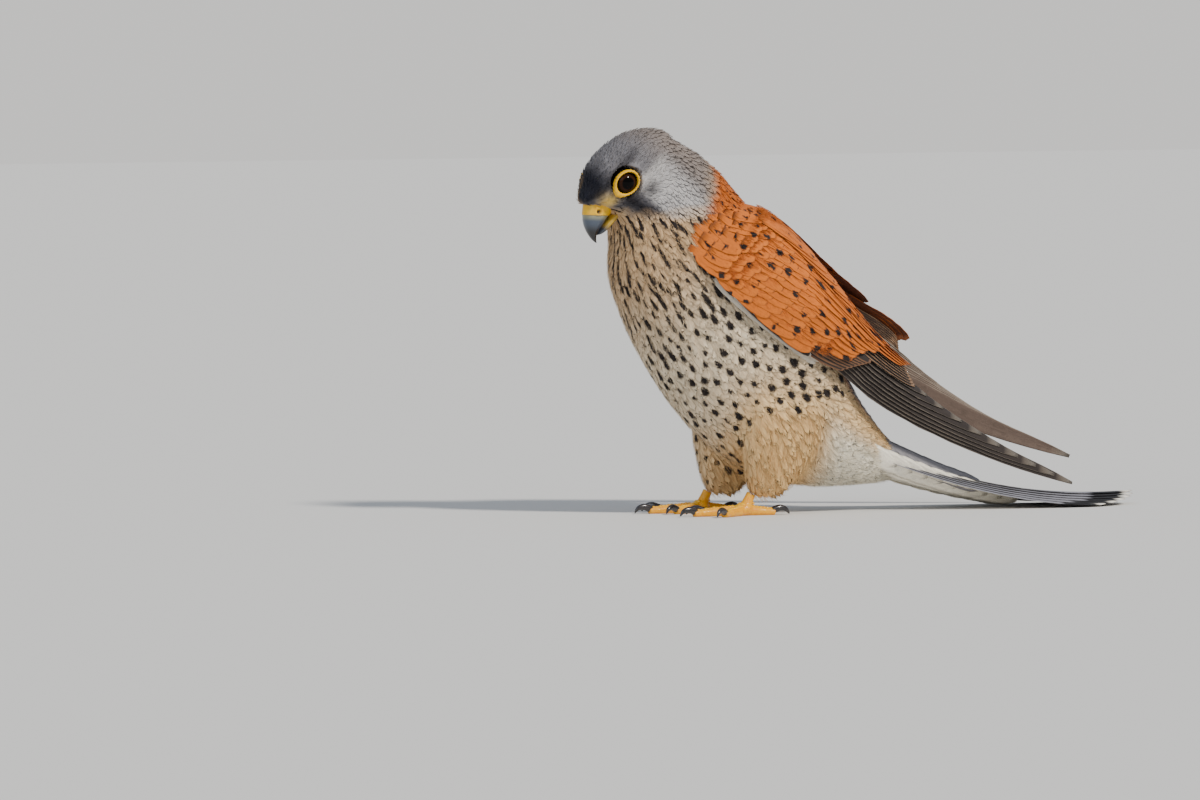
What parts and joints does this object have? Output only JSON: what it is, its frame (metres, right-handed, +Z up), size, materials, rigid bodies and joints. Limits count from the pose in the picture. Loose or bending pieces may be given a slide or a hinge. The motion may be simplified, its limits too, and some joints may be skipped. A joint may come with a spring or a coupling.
{
  "type": "common kestrel, adult male",
  "caption": "Small falcon standing on both feet with folded wings and a long tail laid on the floor, as a still life-size animal figure.",
  "frame": {"origin": "On the floor, below the middle of the bird's own bounding box.", "axes": "The bird faces -X, its left side is towards -Y and +Z is up."},
  "size_m": [0.2948, 0.0818, 0.181],
  "materials": {
    "head_plumage": "grey feathers with fine dark shaft streaks, matt",
    "body_plumage": "cream feathers with dark drop-shaped spots, matt",
    "thigh_plumage": "plain warm buff feathers, matt",
    "wing_plumage": "chestnut feathers with black arrowhead spots, dark flight feathers",
    "tail_plumage": "blue-grey feathers with a black band and white tips",
    "bare_skin": "yellow bare skin with small scutes, slightly glossy",
    "horn": "blue-grey to black horn, glossy",
    "eye": "near-black brown eye, wet and glossy"
  },
  "bodies": {
    "root": {"eye_left": "eye", "eye_ring_left": "bare_skin", "eye_right": "eye", "eye_ring_right": "bare_skin", "head": "head_plumage", "neck": "body_plumage", "cere": "bare_skin", "bill_upper": "horn", "bill_lower": "horn", "torso": "body_plumage", "thigh_left": "thigh_plumage", "leg_left": "bare_skin", "claw_left_hallux": "horn", "claw_left_inner": "horn", "claw_left_middle": "horn", "claw_left_outer": "horn", "thigh_right": "thigh_plumage", "leg_right": "bare_skin", "claw_right_hallux": "horn", "claw_right_inner": "horn", "claw_right_middle": "horn", "claw_right_outer": "horn", "wing_left": "wing_plumage", "wing_right": "wing_plumage", "tail": "tail_plumage"}
  },
  "joints": []
}
